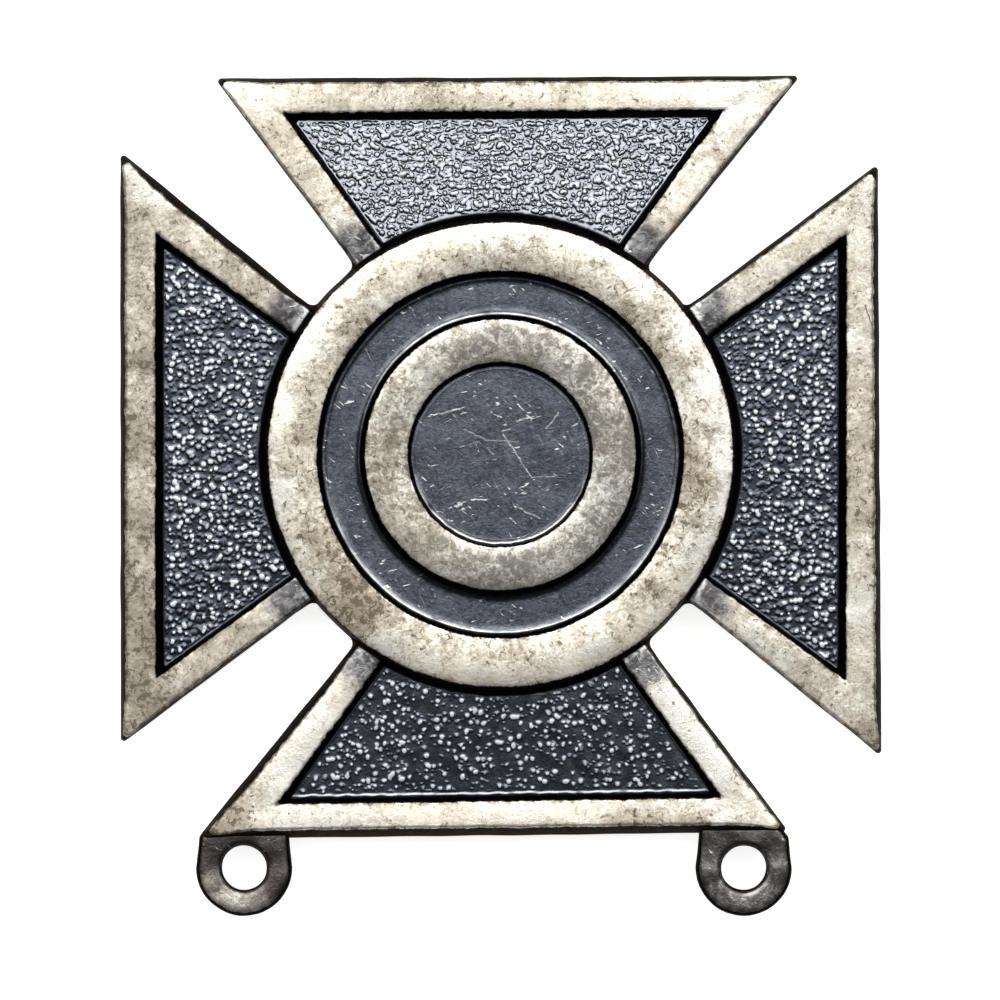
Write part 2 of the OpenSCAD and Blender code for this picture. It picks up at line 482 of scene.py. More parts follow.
def dark_slate(f, clear):
    """Colour of what was never rubbed: mottled slate with pale chips, fine hair lines and
    scratches, and a painted highlight, in patches, on a lip by the target's wall. The numbers brown
    and smear make a place browner and give it paler smears. The foot number is 1 on a painted
    highlight line at the foot of a wall that faces the light and below 0 on painted shade at the
    foot of a wall that faces away from the light."""
    mottle = f.sway(f.noise(0.22, 4.0, 0.75, 0.6), (f.noise(1.2, 2.0, 0.5), 0.35))
    slate = f.mix(f.step(mottle, 0.36, 0.62), SLATE_DARK, SLATE)
    slate = f.mix(f.times(f.attribute("brown"), f.step(mottle, 0.2, 0.5)), slate, SLATE_BROWN)
    smear = f.noise(0.55, 4.0, 0.65, 0.8, f.moved(shift=(1, 4, 0)))
    slate = f.mix(f.times(f.step(smear, 0.40, 0.66), f.attribute("smear")), slate, SMEAR)
    chips = f.larger(f.strokes(-12, 0.50, 0.15, 0.5), f.strokes(38, 0.42, 0.14, 0.5))
    chips = f.step(f.sway(chips, (f.noise(1.5, 2.0, 0.5), 0.35)), 0.73, 0.80, 0.0, 0.8)
    hair = f.larger(f.strokes(64, 1.4, 0.045, 0.3), f.strokes(-28, 1.1, 0.045, 0.3))
    marks = f.larger(chips, f.step(hair, 0.73, 0.82, 0.0, 0.35))
    scratches = f.times(f.lines(SCRATCHES, 0.045, 0.10), f.step(smear, 0.30, 0.60, 0.35, 1.0))
    marks = f.larger(marks, scratches, clamp=True)
    slate = f.mix(marks, slate, PALE_MARK_AND_GLINT)
    # Painted shade: black at the feet of walls that face away from the light
    foot = f.attribute("foot")
    slate = f.mix(f.times(foot, -1.0, clamp=True), slate, BLACK)
    # Painted highlight: a patchy band on the lip by the target's wall, and the lines at the feet of lit
    # walls
    painted_lip_glint = f.times(f.step(clear, 0.10, 0.16), f.step(clear, 0.38, 0.22))
    painted_lip_glint = f.larger(f.times(painted_lip_glint, f.step(smear, 0.46, 0.60, 0.0, 0.5)), foot, clamp=True)
    return f.mix(painted_lip_glint, slate, PALE_MARK_AND_GLINT)


def antiqued():
    """The struck metal. The number rub is millimetres inside a rubbed top; floor is millimetres
    inside a sunk floor, and under -1.5 on the outer side walls; clear is millimetres from the
    target's wall, by which the rubbed tops stop and, right at the wall, black starts."""
    f = Finish("antiqued_silver")
    grain = f.noise(0.16, 4.0, 0.7, 0.6)
    rub = f.sway(f.attribute("rub"), (grain, 0.20))
    deep = f.attribute("floor")
    clear = f.attribute("clear")
    top = f.step(rub, 0.0, 0.05)
    worn = f.step(f.sway(clear, (f.noise(0.9, 4.0, 0.65, 0.6), 1.8)), 1.2, 2.3)
    sunk = f.step(f.sway(deep, (grain, 0.08)), 0.0, 0.07)
    apart = f.step(clear, 0.05, 0.11)
    silver, silver_height, silver_rough = rubbed_silver(f, rub)
    slate = dark_slate(f, clear)
    side = f.mix(f.step(grain, 0.35, 0.7), SIDE_DARK, SIDE_BROWN)
    wall = f.mix(f.step(deep, -1.4, -1.6), BLACK, side)
    colour = f.mix(sunk, wall, slate)
    colour = f.mix(top, colour, f.mix(worn, slate, silver))
    bare = f.times(top, apart)
    rough = f.between(f.times(bare, worn), 0.28, silver_rough)
    rough = f.between(f.larger(sunk, bare), 0.55, rough)
    return f.metal(f.mix(apart, wall, colour), rough, silver_height, 0.012, EDGE_TINT)


def pebbled():
    """The sunk fields: a dark glossy floor, black walls round it, and pebbles whose tops are
    painted pale, partly as rubbing and partly as painted highlight. The number peak is how high a
    place on a pebble is, 0 to 1; pale is how pale the floor is painted as a reflection of the lamp,
    and line is 1 on a painted highlight line along the bottom field's end."""
    f = Finish("antiqued_silver_pebbled")
    grain = f.noise(0.12, 3.0, 0.6, 0.4)
    sunk = f.step(f.sway(f.attribute("floor"), (f.noise(0.5, 3.0, 0.6, 0.6), 0.12)), 0.0, 0.12)
    # Painted reflection: each field's floor is pale by its pale number, mottled by noise
    light = f.attribute("pale")
    shade = f.sway(light, (f.noise(0.5, 4.0, 0.65, 0.8), 1.5))
    floor = f.mix(f.step(shade, -0.1, 1.1), PEBBLE_FLOOR_DARK, PEBBLE_FLOOR)
    peak = f.sway(f.attribute("peak"), (grain, 0.5), (f.noise(1.6, 2.0), 0.4))
    # Pale pebble tops, partly rubbing and partly painted highlight, and the painted highlight line
    pale = f.larger(f.step(peak, 0.40, 0.80), f.attribute("line"))
    colour = f.mix(sunk, BLACK, f.mix(pale, floor, f.mix(light, PEBBLE_TOP, PEBBLE_TOP_DIM)))
    return f.metal(colour, f.between(sunk, 0.5, f.between(pale, 0.20, 0.45)), grain, 0.004, EDGE_TINT)


def plain_metal(name, light, dark, rough, size):
    """Dull metal with clouds of two tones, a fine drawn grain and faint pits."""
    f = Finish(name)
    clouds = f.noise(size, 5.0, 0.6, 0.5)
    drawn = f.noise(1.0, 3.0, 0.6, 0.1, f.moved(stretch=(0.5, 9, 9)))
    shade = f.sway(0.5, (clouds, 0.7), (drawn, 0.3))
    colour = f.mix(f.step(shade, 0.38, 0.62), dark, light)
    rough = f.step(clouds, 0.3, 0.7, rough + 0.12, rough)
    return f.metal(colour, rough, f.math("ADD", drawn, clouds), 0.006)


STRUCK = antiqued()
PEBBLED = pebbled()
BACK = plain_metal("antiqued_silver_back", tone(150, 146, 138), tone(96, 94, 92), 0.42, 1.8)
NICKEL = plain_metal("nickelled_steel", tone(205, 203, 196), tone(160, 157, 150), 0.3, 1.2)


# Places that are browner than the rest, or paler: x, y and reach from the middle of the
# target, and the amount, below 0 where they are paler. The paler places by the upper left tips
# are partly rubbing and partly painted highlight, where those edges face the light.
TARNISH_AND_HIGHLIGHT = (
    (-6.8, -6.7, 1.6, 0.60),
    (-8.6, -4.2, 1.3, 0.30),
    (-9.3, 0.8, 0.9, 0.20),
    (8.3, -0.7, 0.9, 0.25),
    (-16.9, 1.0, 1.6, 0.25),
    (-16.6, 4.3, 0.5, 0.45),
    (-16.3, -8.6, 1.0, 0.40),
    (-16.9, -6.0, 2.2, 0.25),
    (-16.6, -11.0, 1.8, 0.20),
    (16.7, -2.0, 2.5, 0.12),
    (7.5, -16.6, 2.2, 0.20),
    (-4.0, 16.2, 3.0, 0.12),
    (-12.8, -16.8, 2.0, 0.45),
    (16.9, -13.0, 1.0, 0.40),
    (9.4, -1.2, 1.2, 0.30),
    (6.8, -6.5, 0.8, 0.20),
    (5.5, -17.3, 0.9, 0.35),
    (2.6, -17.4, 0.6, 0.30),
    (9.0, -17.3, 0.7, 0.35),
    (7.2, 7.2, 1.0, 0.20),
    (-6.3, 6.1, 1.0, 0.25),
    (-5.3, 0.4, 1.6, 0.34),
    (5.3, 0.4, 1.5, 0.30),
    # Paler by the upper left tips: partly rubbing and partly painted highlight
    (-16.6, 13.2, 0.9, -0.50),
    (-15.5, 12.0, 0.9, -0.40),
    (-12.6, 16.8, 2.4, -0.30),
    (9.5, 16.9, 3.0, -0.20),
    (2.0, -16.8, 5.0, -0.12),
    (9.5, -13.0, 2.5, -0.30),
    (-9.5, -13.0, 2.5, -0.25),
    (13.4, -10.6, 2.5, 0.12),
)


def patches(x, y):
    """The amounts of all the browner and paler places, each a bell of its reach."""
    total = np.zeros_like(x)
    for px, py, reach, amount in TARNISH_AND_HIGHLIGHT:
        total += amount * bell(np.hypot(x - px, y - py), reach)
    return total


# The round target

TARGET_STEPS = 540
# How far the middle of a ring's top is above its edges
CROWN = 0.06
# The furthest apart that neighbouring points of the profile are
PROFILE_STEP = 0.15
# A radius between the two rings
MIDWAY_R = 7.0
# clear, for a place that is nowhere near the target's wall
FAR = 9.0
# Radius, height and rounding of each corner of the target's profile
TARGET_PROFILE = (
    (RIM_R - 0.5, HIDDEN_H, 0),
    (RIM_R - 0.03, HIDDEN_H, 0),
    (RIM_R, FIELD_H, 0),
    (OUTER_RING[1] + 0.02, RING_H, 0.10),
    (OUTER_RING[0] - 0.02, RING_H, 0.10),
    (OUTER_RING[0] - RING_LEAN, CHANNEL_H, 0.45),
    (INNER_RING[1] + RING_LEAN, CHANNEL_H, 0.48),
    (INNER_RING[1] + 0.02, RING_H, 0.10),
    (INNER_RING[0] - 0.02, RING_H, 0.10),
    (INNER_RING[0] - 0.12, BULL_H + 0.05, 0.04),
    (INNER_RING[0] - 0.34, BULL_H, 0.20),
    (0.1, BULL_H, 0),
)
# Feet of the walls round the sunk floors: radius where the floor starts, how far from there the
# painted highlight line runs, its reach, the way that the wall faces (1 is out) and how bright the
# painted line is
FEET = (
    (INNER_RING[1] + 0.22, 0.14, 0.06, 1, 0.8),
    (OUTER_RING[0] - 0.17, 0.14, 0.08, -1, 0.8),
    (INNER_RING[0] - 0.11, 0.16, 0.065, -1, 1.2),
)
# Edges of the rings, painted paler as a highlight where they face the light: radius, the way
# that each faces and how far the painted highlight reaches
PAINTED_HIGHLIGHT_EDGES = (
    (OUTER_RING[1], 1, 0.50),
    (OUTER_RING[0], -1, 0.25),
    (INNER_RING[1], 1, 0.25),
    (INNER_RING[0], -1, 0.30),
)


def ring_inside(r):
    """Millimetres inside the nearer ring's rubbed top; negative outside both."""
    outer = np.minimum(r - OUTER_RING[0], OUTER_RING[1] - r)
    inner = np.minimum(r - INNER_RING[0], INNER_RING[1] - r)
    return np.maximum(outer, inner)


def crown_drop(r):
    """How far a ring's top lies below its crown at radius r: the square of the way from its middle."""
    drop = np.zeros_like(r)
    for low, high in (OUTER_RING, INNER_RING):
        way = (2 * r - low - high) / (high - low)
        drop = np.where(np.abs(way) < 1.25, CROWN * np.minimum(way ** 2, 1.0), drop)
    return drop


def make_target():
    """A profile carried round the upright axis, with a slight wander and dented tops. The inner
    ring is grey, least so on its left, and the outer ring is browner towards the middle."""
    line = spread(rounded_line(TARGET_PROFILE, 8), PROFILE_STEP)
    r0, z0 = line[:, 0], line[:, 1]
    turn = np.arange(TARGET_STEPS)[:, None] * 2 * math.pi / TARGET_STEPS
    x, y = r0 * np.cos(turn), r0 * np.sin(turn)
    high = z0 > CHANNEL_H + 0.02
    z = z0 - crown_drop(r0) * high + 0.005 * ripple(x, y, 2.4, 3)
    points = wandered(x, y, np.maximum(z, HIDDEN_H), 0.010 * bell(ring_inside(r0), 0.22), 11)
    quads = grid_quads(TARGET_STEPS, len(r0), close_rows=True)
    start = np.arange(TARGET_STEPS) * len(r0)
    caps = [start[::-1], start + len(r0) - 1]
    depth, foot = [], 0.0
    for radius, gap, width, way, painted_glint in FEET:
        lit = way * np.sin(turn)
        # Painted shade: the black at a wall's foot is wider where the wall faces away from the light
        depth.append((r0 - radius) * way + 0.06 * lit)
        # Painted highlight line at the feet of walls facing the light, painted shade at those facing away
        line = painted_glint * bell(depth[-1] - gap, width) * np.clip(1.5 * lit - 0.2, 0, 1)
        line = line * np.clip(0.9 + 0.4 * ripple(x, y, 1.0, 15), 0, 1)
        foot = foot + line - 0.75 * bell(depth[-1], 0.15) * np.clip(-lit, 0, 1)
    # Painted highlight: ring edges facing the light, up and a little left, are less brown and grey
    faces = np.sin(turn - math.radians(20))
    painted_highlight = sum(bell(r0 - radius, reach) * np.clip(way * faces, 0, 1) for radius, way, reach in PAINTED_HIGHLIGHT_EDGES)
    floor = np.maximum(np.minimum(depth[0], depth[1]), depth[2])
    floor = np.where((r0 > OUTER_RING[1]) | (z0 < 0.5), -2.0, floor)
    foot = np.where(floor > 0, foot, np.clip(foot, 0, 1))
    stain = np.where(r0 < MIDWAY_R, 0.30, 0.40 - 0.24 * np.clip((r0 - 9.0) / 1.4, 0, 1))
    dull = np.where(r0 < MIDWAY_R, 0.80 - 0.35 * np.clip(-np.cos(turn), 0, 1), 0.10)
    numbers = dict(
        rub=np.broadcast_to(np.where(high, ring_inside(r0), -1.0), x.shape),
        floor=floor,
        clear=FAR,
        # Less brown and less grey under the painted highlight on the ring edges
        stain=stain + patches(x, y) - 0.30 * painted_highlight,
        dull=dull * (1 - 0.9 * np.clip(painted_highlight, 0, 1)),
        crinkled=1.0,
        foot=foot,
    )
    add_piece("target", points, quads, STRUCK, numbers, caps)


# The frames round the arms

# The arms, seen from the target with the end ahead. shift is how far each side of the worn
# outline lies outside the die's, in millimetres, and tilt is the end's turn, in degrees, for
# the right side, end and left side in turn; field and field_tilt are the same for the sunk
# field. lean is how far each outer wall leans inwards, tips how dark the right and the left tip
# are, slope how steeply the end faces the top of the picture, walls the share of its lean that
# each wall round the field has, and stain and dull how brown and how grey the rubbed top is.
ARMS = {
    "top": dict(
        turn=0, shift=(0.0, -0.09, 0.0), tilt=0.25, field=(0.0, -0.16, -0.14), field_tilt=0.45,
        lean=(0.14, 0.22, 0.06), tips=(0.0, 0.32), slope=0.01, walls=(0.75, 0.85, 0.55),
        stain=0.37, dull=0.0,
    ),
    "left": dict(
        turn=90, shift=(0.03, 0.05, 0.06), tilt=0.0, field=(-0.10, -0.08, 0.0), field_tilt=0.0,
        lean=(0.32, 0.24, 0.14), tips=(0.0, 0.0), slope=0.0, walls=(0.8, 1.0, 0.4), stain=0.44, dull=0.2,
    ),
    "bottom": dict(
        turn=180, shift=(-0.07, 0.12, 0.05), tilt=0.7, field=(-0.14, 0.0, -0.04), field_tilt=0.8,
        lean=(0.30, 0.40, 0.17), tips=(0.0, 0.0), slope=0.04, walls=(0.9, 0.35, 0.7), stain=0.26, dull=0.0,
    ),
    "right": dict(
        turn=270, shift=(0.0, 0.02, 0.14), tilt=0.4, field=(0.05, -0.04, -0.14), field_tilt=0.0,
        lean=(0.05, 0.26, 0.16), tips=(0.0, 0.35), slope=0.0, walls=(0.4, 1.0, 0.8), stain=0.36, dull=0.12,
    ),
}
ARM_OUTLINE = np.array((
    (ARM_ROOT_HALF, ARM_ROOT),
    (ARM_TIP_HALF + TRIM_SHIFT, ARM_REACH),
    (-ARM_TIP_HALF + TRIM_SHIFT, ARM_REACH),
    (-ARM_ROOT_HALF, ARM_ROOT),
))
FIELD_OUTLINE = np.array((
    (FIELD_ROOT_HALF, FIELD_ROOT),
    (FIELD_TIP_HALF, FIELD_REACH),
    (-FIELD_TIP_HALF, FIELD_REACH),
    (-FIELD_ROOT_HALF, FIELD_ROOT),
))
SIDE_STEPS, CORNER_STEPS, END_STEPS = 110, 10, 250
FRAME_START = 9.35
# Columns across a frame's top, and how far it bulges
TOP_COLUMNS = 14
TOP_BULGE = 0.014
# The slope of an arm's end starts this far on either side of the field's outer edge
SLOPE_START = 0.6
# Share of the outer wall's lean, further inset, height
FRAME_OUTSIDE = (
    (0, 0.03, 0.06),
    (0, 0, 0.12),
    (0, 0, SHEARED_H - 0.06),
    (0.05, 0, SHEARED_H + 0.02),
    (0.5, 0, 1.06),
    (0.9, 0, 1.33),
    (1, 0.01, 1.39),
    (1, 0.045, 1.43),
    (1, 0.10, FRAME_H),
)
# Inset from the field's outline, height
FRAME_INSIDE = (
    (-0.09, FRAME_H),
    (-0.035, 1.435),
    (0.0, 1.39),
    (0.06, 1.28),
    (FIELD_LEAN / 2, 1.13),
    (FIELD_LEAN, FIELD_H - 0.02),
    (FIELD_LEAN + 0.06, 0.6),
    (FIELD_LEAN + 0.06, 0.06),
)


def sides(outline, shift, tilt):
    """A point on each side of an outline, the way that each side runs and the way into the
    outline, once the sides are moved outwards by their shifts and the end is turned about its
    middle by tilt."""
    along = np.array([unit(outline[k + 1] - outline[k]) for k in range(3)])
    along[1] = turned(*along[1], tilt)
    inward = np.stack([-along[:, 1], along[:, 0]], 1)
    middle = (outline[:3] + outline[1:]) / 2
    return middle - inward * np.array(shift)[:, None], along, inward


def reach_in(tip, way, radius):
    """Where the line from tip along way first comes as near to the middle as radius."""
    b = tip @ way
    return tip - way * (b + math.sqrt(b * b - tip @ tip + radius ** 2))


def side_path(line, insets, radius):
    """The open path up the right side, across the end and down the left side of an outline.
    Each side is first moved inwards by its own inset, the two corners are rounded, and the
    path starts and ends where the sides reach the distance FRAME_START from the middle."""
    base, along, inward = line
    base = base + inward * np.array(insets)[:, None]
    corner = []
    for k in range(2):
        reach = np.linalg.solve(np.stack([along[k], -along[k + 1]], 1), base[k + 1] - base[k])
        corner.append(base[k] + along[k] * reach[0])
    roots = reach_in(corner[0], -along[0], FRAME_START), reach_in(corner[1], along[2], FRAME_START)
    places = ((*roots[0], 0), (*corner[0], radius), (*corner[1], radius), (*roots[1], 0))
    bent = rounded_line(places, CORNER_STEPS)
    first, second = bent[1:CORNER_STEPS + 2], bent[CORNER_STEPS + 2:-1]

    def straight(a, b, steps):
        return a + (b - a) * (np.arange(steps) / steps)[:, None]

    return np.concatenate([
        straight(bent[0], first[0], SIDE_STEPS),
        first[:-1],
        straight(first[-1], second[0], END_STEPS),
        second[:-1],
        straight(second[-1], bent[-1], SIDE_STEPS),
        bent[-1:],
    ])


def make_frame(name, arm):
    """A profile carried along the arm's sides and end. Its outer columns follow the arm's
    outline, its inner ones the field's, and those of the top go evenly from one to the other.
    The outer wall leans less by the tips and by the target, and some tips are left dark."""
    lean, walls = np.array(arm["lean"]), np.array(arm["walls"])
    outline = sides(ARM_OUTLINE, arm["shift"], arm["tilt"])
    hollow = sides(FIELD_OUTLINE, arm["field"], arm["field_tilt"])
    edge = side_path(outline, [0, 0, 0], CORNER_R)
    steep = 0.5 * bell(np.hypot(*edge.T) - RIM_R, 2.2)
    for tip in ARM_OUTLINE[1:3]:
        steep = steep + 0.5 * bell(np.hypot(*(edge - tip).T), 1.0)
    columns = []
    for share, extra, height in FRAME_OUTSIDE:
        path = side_path(outline, lean * share + extra, CORNER_R + 0.1 * share)
        inside = extra + 0.02 if share == 1 else max(height - 1.38, -1.0)
        columns.append((path + (edge - path) * steep[:, None], height, inside))
    lip_out, lip_in = columns[-1][0], side_path(hollow, [FRAME_INSIDE[0][0]] * 3, 0.05)
    for k in range(1, TOP_COLUMNS):
        t = k / TOP_COLUMNS
        inside = 0.07 + min(t, 1 - t) * np.linalg.norm(lip_out - lip_in, axis=1)
        columns.append((lip_out + (lip_in - lip_out) * t, FRAME_H + TOP_BULGE * 4 * t * (1 - t), inside))
    for inset, height in FRAME_INSIDE:
        path = side_path(hollow, inset * (walls if inset > 0 else np.ones(3)), 0.06 + max(0, inset) * 0.3)
        columns.append((path, height, -0.02 - inset if inset <= 0 else -1.0))
    paths, z, rub = zip(*columns)
    rows = len(paths[0])
    x, y = np.stack(paths, 2).transpose(1, 0, 2)
    z = np.broadcast_to(np.array(z), x.shape)
    rub = np.stack([np.broadcast_to(column, rows) for column in rub], 1)
    outside = np.arange(len(paths)) < len(FRAME_OUTSIDE)
    for tip, dark in zip(ARM_OUTLINE[1:3], arm["tips"]):
        rub = rub - dark * bell(np.hypot(x - tip[0], y - tip[1]), 0.55)
    lifted = z > 1.3
    out = y - FIELD_REACH
    out = np.where(out > SLOPE_START, out, np.clip(out + SLOPE_START, 0, None) ** 2 / (4 * SLOPE_START))
    z = z - lifted * arm["slope"] * math.cos(math.radians(arm["turn"])) * out
    x, y = turned(x, y, arm["turn"])
    clear = np.hypot(x, y) - RIM_R
    z = z + lifted * (0.006 * ripple(x, y, 2.2, 21) - 0.05 * bell(clear, 1.2))
    points = wandered(x, y, z, 0.02 * bell(rub, 0.15) * (rub > -0.9), 22)
    quads = grid_quads(rows, len(paths), close_columns=True)
    start = np.arange(len(paths))
    caps = [start, (start + (rows - 1) * len(paths))[::-1]]
    numbers = dict(
        rub=rub,
        floor=np.broadcast_to(np.where(outside, -2.0, -1.0), x.shape),
        clear=clear,
        stain=arm["stain"] + patches(x, y),
        dull=arm["dull"],
        crinkled=0.6,
        smear=1.1 * bell(clear, 2.2),
        brown=0.5,
    )
    add_piece("frame_" + name, points, quads, STRUCK, numbers, caps)


# The pebbled fields

FIELD_COLUMNS, FIELD_ROWS = 440, 190
FIELD_SKIRT = 0.35
FIELD_START = 10.78
# How far a field runs on under its frame
FIELD_TUCK = 0.14
# Half the width of the hollow curve between floor and wall, and that of the curve by the target
FOOT = 0.10
RING_FOOT = 0.24
# Spacing and radius of the small pebbles, and their height as a share of the others'
SMALL_PITCH = 0.23
SMALL_R = 0.07
SMALL_TOP = 0.6
# Distance from the wall's foot, reach and height of the ridge along the bottom field's end, and
# the distance and reach of the painted highlight along its side
RIDGE = (0.16, 0.07, 0.012)
RIDGE_PAINTED_HIGHLIGHT = (0.21, 0.045)
# Each field's pebbles: random seed, spacing, radius, share of places that have one, height of
# the lowest beside that of the highest, share of places with a small one in between, height of
# the highest, and width of the bare strip along the walls. fall is the floor's fall outwards,
# pale how pale the floor is painted as a reflection of the lamp, which is strongest in the top
# field, and line 1 where the ridge, with its painted highlight, runs along the end.
SPARSE = dict(pitch=0.30, size=0.136, small=0.3, height=0.032, bare=0.06, fall=0.10, line=0)
FIELDS = {
    "top": dict(
        seed=101, pitch=0.265, size=0.137, share=1.0, lowest=0.42, small=0.7,
        height=0.060, bare=0.09, fall=0.34, pale=0.80, line=0,
    ),
    "left": dict(SPARSE, seed=202, share=0.95, lowest=0.38, pale=0.08),
    "bottom": dict(
        SPARSE, seed=303, pitch=0.33, size=0.115, share=0.55, lowest=0.60,
        height=0.020, pale=0.28, line=1,
    ),
    "right": dict(SPARSE, seed=404, share=0.93, lowest=0.35, pale=0.06),
}


def domes(x, y, pitch, seed, size, chance, lowest):
    """Height, 0 to 1, of small domes. Each square cell of the pitch may hold one, at a random
    place, of a random size and longer one way. A point takes a smooth maximum, the sixth
    root of the sum of sixth powers, of the domes in the nine cells round it."""
    draw = np.random.default_rng(seed).random((128, 128, 7))
    cell_x, cell_y = np.floor(x / pitch).astype(int), np.floor(y / pitch).astype(int)
    total = np.zeros_like(x)
    for step_x in (-1, 0, 1):
        for step_y in (-1, 0, 1):
            cx, cy = cell_x + step_x, cell_y + step_y
            pick = draw[cx % 128, cy % 128]
            dx = x - (cx + 0.5 + 0.8 * (pick[..., 0] - 0.5)) * pitch
            dy = y - (cy + 0.5 + 0.8 * (pick[..., 1] - 0.5)) * pitch
            turn = math.pi * pick[..., 4]
            u = dx * np.cos(turn) + dy * np.sin(turn)
            v = dy * np.cos(turn) - dx * np.sin(turn)
            radius = size * (0.62 + 0.65 * pick[..., 2])
            d = np.hypot(u / (1 + 0.6 * pick[..., 5] ** 2), v) / radius
            dome = np.clip(1 - d ** 3, 0, 1) * (lowest + (1 - lowest) * pick[..., 6])
            total += (pick[..., 3] < chance) * dome ** 6
    return total ** (1 / 6)


def make_field(name, arm, field):
    """A grid between an arc under the target's rim and a line under the frame's end, with
    pebbles on it, a slight fall outwards and a hollow curve up the foot of each wall."""
    seed, lowest = field["seed"], field["lowest"]
    a = np.linspace(-1, 1, FIELD_COLUMNS)[:, None]
    b = np.linspace(0, 1, FIELD_ROWS)[None, :]
    line = sides(FIELD_OUTLINE, arm["field"], arm["field_tilt"])
    walls = np.array(arm["walls"])
    edge = side_path(line, FIELD_TUCK * walls, 0.01)
    first = SIDE_STEPS + CORNER_STEPS // 2
    corners = edge[first], edge[first + CORNER_STEPS + END_STEPS]
    right, left = (math.atan2(*reach_in(corners[k], way, FIELD_START))
                   for k, way in ((0, -line[1][0]), (1, line[1][2])))
    sweep = left + (right - left) * (a + 1) / 2
    x0, y0 = FIELD_START * np.sin(sweep), FIELD_START * np.cos(sweep)
    end = corners[1] + (corners[0] - corners[1]) * (a + 1) / 2
    x = x0 + (end[:, :1] - x0) * b
    y = y0 + (end[:, 1:] - y0) * b
    base, _, inward = line
    from_right, from_end, from_left = (
        (x - base[k, 0]) * inward[k, 0] + (y - base[k, 1]) * inward[k, 1] - FIELD_LEAN * walls[k]
        for k in range(3))
    from_sides = np.minimum(from_right, from_left)
    from_frame = np.minimum(from_sides, from_end)
    from_ring = np.hypot(x, y) - RIM_R
    x, y = turned(x, y, arm["turn"])
    bare = field["bare"] * (1 + 0.5 * ripple(x, y, 1.1, seed + 3))
    clear = np.minimum(from_frame, from_end - 0.22 * field["line"]) - bare
    clear = np.minimum(clear, from_ring - 0.15 - 2 * bare)
    open_floor = np.clip(clear / 0.14, 0, 1)
    small = SMALL_TOP * domes(x, y, SMALL_PITCH, seed + 1, SMALL_R, field["small"], lowest)
    peak = domes(x, y, field["pitch"], seed, field["size"], field["share"], lowest)
    peak = np.maximum(peak, small) * open_floor
    z = FIELD_H - field["fall"] * b + field["height"] * peak + 0.004 * ripple(x, y, 1.3, seed + 2)
    wavy = from_end - 0.02 * ripple(x, y, 0.8, 9)
    z = z + field["line"] * RIDGE[2] * bell(wavy - RIDGE[0], RIDGE[1])
    # Painted highlight along the ridge's side, in patches, fading towards the field's sides
    painted_glint = bell(wavy - RIDGE_PAINTED_HIGHLIGHT[0], RIDGE_PAINTED_HIGHLIGHT[1])
    painted_glint = painted_glint * np.clip(0.75 + 0.5 * ripple(x, y, 0.6, 10), 0, 1)
    painted_glint = field["line"] * painted_glint * np.clip(from_sides / 0.4 - 0.5, 0, 1)
    steep = (FRAME_H - FIELD_H) / FIELD_LEAN
    z = z + steep / (4 * FOOT) * np.clip(FOOT - from_frame, 0, 2 * FOOT) ** 2
    z = z + steep * np.clip(-FOOT - from_frame, 0, 1)
    hollow = np.clip(RING_FOOT - from_ring, 0, RING_FOOT)
    z = z + RING_FOOT - np.sqrt(RING_FOOT ** 2 - hollow ** 2)
    top = np.stack([x, y, z], -1).reshape(-1, 3)
    index = np.arange(z.size).reshape(z.shape)
    rim = np.concatenate([index[:, 0], index[-1, 1:], index[-2::-1, -1], index[0, -2:0:-1]])
    skirt = top[rim] * (1, 1, 0) + (0, 0, FIELD_SKIRT)
    n, m = len(top), len(rim)
    k = np.arange(m)
    side = np.stack([rim, n + k, n + (k + 1) % m, np.roll(rim, -1)], 1)
    quads = np.concatenate([grid_quads(FIELD_COLUMNS, FIELD_ROWS)[:, ::-1], side])
    inside = np.minimum(from_sides, from_end - 0.18 * field["line"]) + 0.10
    inside = np.minimum(inside, from_ring - 0.20).ravel()
    numbers = dict(
        floor=np.append(inside, np.full(m, -1.0)),
        peak=np.append(peak.ravel(), np.zeros(m)),
        pale=field["pale"],
        line=np.append(painted_glint.ravel(), np.zeros(m)),
    )
    add_piece("field_" + name, np.concatenate([top, skirt]), quads, PEBBLED, numbers, [n + k[::-1]])


# The hanging loops

LOOP_STEPS = 144
# Name, which side of the badge it is on, the way that its rubbed part faces, how clearly, how
# brown and how grey that part is, and how smeared the rest is
LOOPS = (
    ("left", -1, (-0.35, -0.95), 1.4, 0.40, 0.50, 0.0),
    ("right", 1, (0.0, -1.0), 0.65, 0.30, 0.80, 0.9),
)
# How far a loop's tab runs on under the bottom frame, and how far it stays inside its side there
TAB_TUCK = 0.5
TAB_INSET = 0.1
# Whether it follows the outside, inset from there or from the hole, height
LOOP_PROFILE = (
    (True, 0.03, 0.02),
    (True, 0, 0.08),
    (True, 0, 0.70),
    (True, 0.06, 0.83),
    (True, 0.16, 0.89),
    (True, 0.32, 0.915),
    (True, 0.50, 0.92),
    (False, 0.30, 0.915),
    (False, 0.14, 0.90),
    (False, 0.05, 0.86),
    (False, 0, 0.78),
    (False, 0, 0.08),
    (False, 0.03, 0.02),
)


